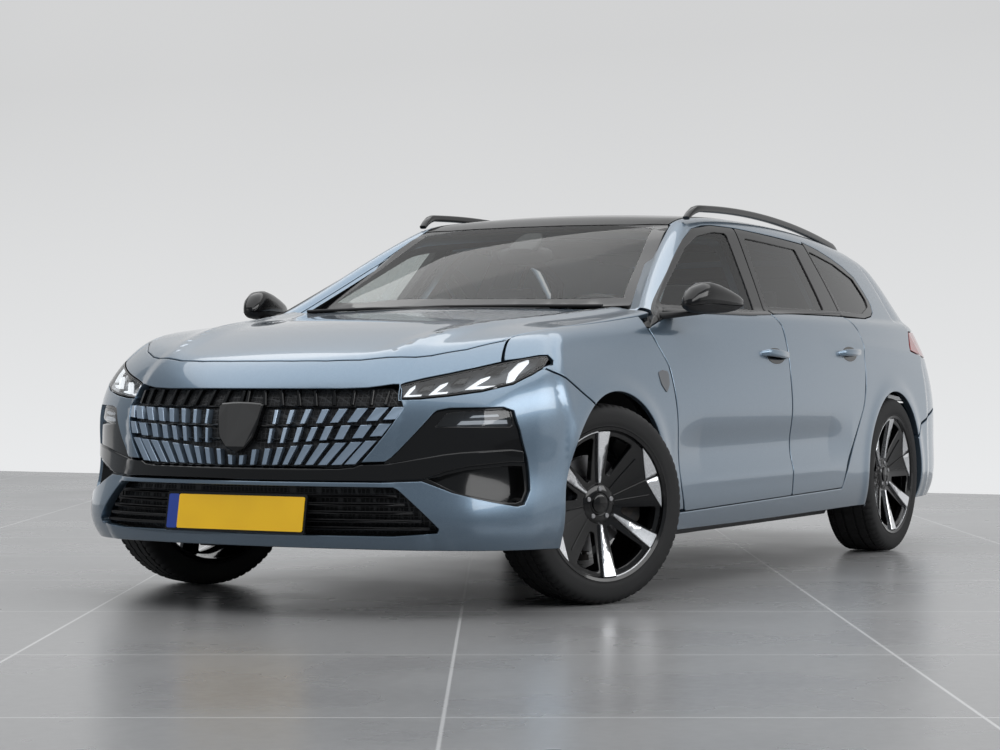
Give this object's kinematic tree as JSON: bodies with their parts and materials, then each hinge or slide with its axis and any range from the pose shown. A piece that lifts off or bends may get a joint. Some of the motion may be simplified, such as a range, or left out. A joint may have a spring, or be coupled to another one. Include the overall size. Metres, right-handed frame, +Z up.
{
  "type": "station wagon",
  "caption": "Five-door estate car with opening doors, bonnet and tailgate, steered front wheels and spinning wheels.",
  "frame": {"origin": "on the floor under the middle of the car's length and width", "axes": "+X forward, +Y to the car's left, +Z up"},
  "size_m": [4.7929, 2.08, 1.4356],
  "materials": {
    "body_paint": "metallic slate blue under clear coat",
    "roof_gloss_black": "gloss black",
    "trim_gloss_black": "gloss black trim",
    "plastic_black": "grained black plastic",
    "inner_steel": "primed and painted inner body",
    "glass_clear": "green tinted clear glass",
    "glass_dark": "privacy glass",
    "lamp_clear": "clear lamp cover",
    "lamp_red": "dark red lamp cover",
    "rim_gloss_black": "gloss black with machined faces",
    "tyre": "black rubber",
    "chassis_iron": "dark coated iron and steel",
    "seat_cover": "dark grey woven and leather cover"
  },
  "bodies": {
    "body": {"side_frame_left": "body_paint", "side_frame_right": "body_paint", "fender_left": "body_paint", "fender_right": "body_paint", "roof_panel": "roof_gloss_black", "roof_rails": "trim_gloss_black", "windscreen": "glass_clear", "quarter_glass": "glass_dark", "front_bumper": "body_paint", "corner_trims": "trim_gloss_black", "grille": "trim_gloss_black", "headlamps": "lamp_clear", "rear_bumper": "body_paint", "tail_lamps": "lamp_red", "floor_pan": "inner_steel", "bulkhead": "inner_steel", "engine_block": "chassis_iron", "front_suspension": "chassis_iron", "rear_axle": "chassis_iron", "fuel_tank": "plastic_black", "silencer": "chassis_iron", "front_seats": "seat_cover", "rear_seat": "seat_cover", "dashboard": "plastic_black"},
    "bonnet": {"bonnet": "body_paint"},
    "tailgate": {"tailgate": "body_paint", "tailgate_glass": "glass_dark"},
    "door_front_left": {"door_front_left": "body_paint", "glass_front_door_left": "glass_clear", "mirror_left": "trim_gloss_black"},
    "door_rear_left": {"door_rear_left": "body_paint", "glass_rear_door_left": "glass_dark"},
    "door_front_right": {"door_front_right": "body_paint", "glass_front_door_right": "glass_clear", "mirror_right": "trim_gloss_black"},
    "door_rear_right": {"door_rear_right": "body_paint", "glass_rear_door_right": "glass_dark"},
    "knuckle_left": {"knuckle_left": "chassis_iron"},
    "wheel_front_left": {"tyre_front_left": "tyre", "rim_front_left": "rim_gloss_black"},
    "wheel_rear_left": {"tyre_rear_left": "tyre", "rim_rear_left": "rim_gloss_black"},
    "knuckle_right": {"knuckle_right": "chassis_iron"},
    "wheel_front_right": {"tyre_front_right": "tyre", "rim_front_right": "rim_gloss_black"},
    "wheel_rear_right": {"tyre_rear_right": "tyre", "rim_rear_right": "rim_gloss_black"}
  },
  "joints": [
    {"name": "bonnet_hinge", "type": "hinge", "parent": "body", "child": "bonnet", "pos_m": [1, 0, 0.99], "axis": [0, -1, 0], "range_deg": [0, 50]},
    {"name": "tailgate_hinge", "type": "hinge", "parent": "body", "child": "tailgate", "pos_m": [-1.624, 0, 1.319], "axis": [0, 1, 0], "range_deg": [0, 78]},
    {"name": "door_front_left_hinge", "type": "hinge", "parent": "body", "child": "door_front_left", "pos_m": [1.035, 0.93, 0.6], "axis": [0, 0, -1], "range_deg": [0, 68]},
    {"name": "door_rear_left_hinge", "type": "hinge", "parent": "body", "child": "door_rear_left", "pos_m": [-0.02, 0.93, 0.6], "axis": [0, 0, -1], "range_deg": [0, 70]},
    {"name": "door_front_right_hinge", "type": "hinge", "parent": "body", "child": "door_front_right", "pos_m": [1.035, -0.93, 0.6], "axis": [0, 0, 1], "range_deg": [0, 68]},
    {"name": "door_rear_right_hinge", "type": "hinge", "parent": "body", "child": "door_rear_right", "pos_m": [-0.02, -0.93, 0.6], "axis": [0, 0, 1], "range_deg": [0, 70]},
    {"name": "steer_left", "type": "hinge", "parent": "body", "child": "knuckle_left", "pos_m": [1.466, 0.78, 0.335], "axis": [0, 0, 1], "range_deg": [-10.5, 59.5]},
    {"name": "spin_front_left", "type": "hinge", "parent": "knuckle_left", "child": "wheel_front_left", "pos_m": [1.4745, 0.79865, 0.335], "axis": [0.4147, 0.91, 0], "continuous": true},
    {"name": "spin_rear_left", "type": "hinge", "parent": "body", "child": "wheel_rear_left", "pos_m": [-1.327, 0.8005, 0.335], "axis": [0, 1, 0], "continuous": true},
    {"name": "steer_right", "type": "hinge", "parent": "body", "child": "knuckle_right", "pos_m": [1.466, -0.78, 0.335], "axis": [0, 0, 1], "range_deg": [-10.5, 59.5]},
    {"name": "spin_front_right", "type": "hinge", "parent": "knuckle_right", "child": "wheel_front_right", "pos_m": [1.4575, -0.79865, 0.335], "axis": [0.4147, 0.91, 0], "continuous": true},
    {"name": "spin_rear_right", "type": "hinge", "parent": "body", "child": "wheel_rear_right", "pos_m": [-1.327, -0.8005, 0.335], "axis": [0, 1, 0], "continuous": true}
  ],
  "couplings": [
    {"joint": "steer_right", "follows": "steer_left", "ratio": 1}
  ]
}
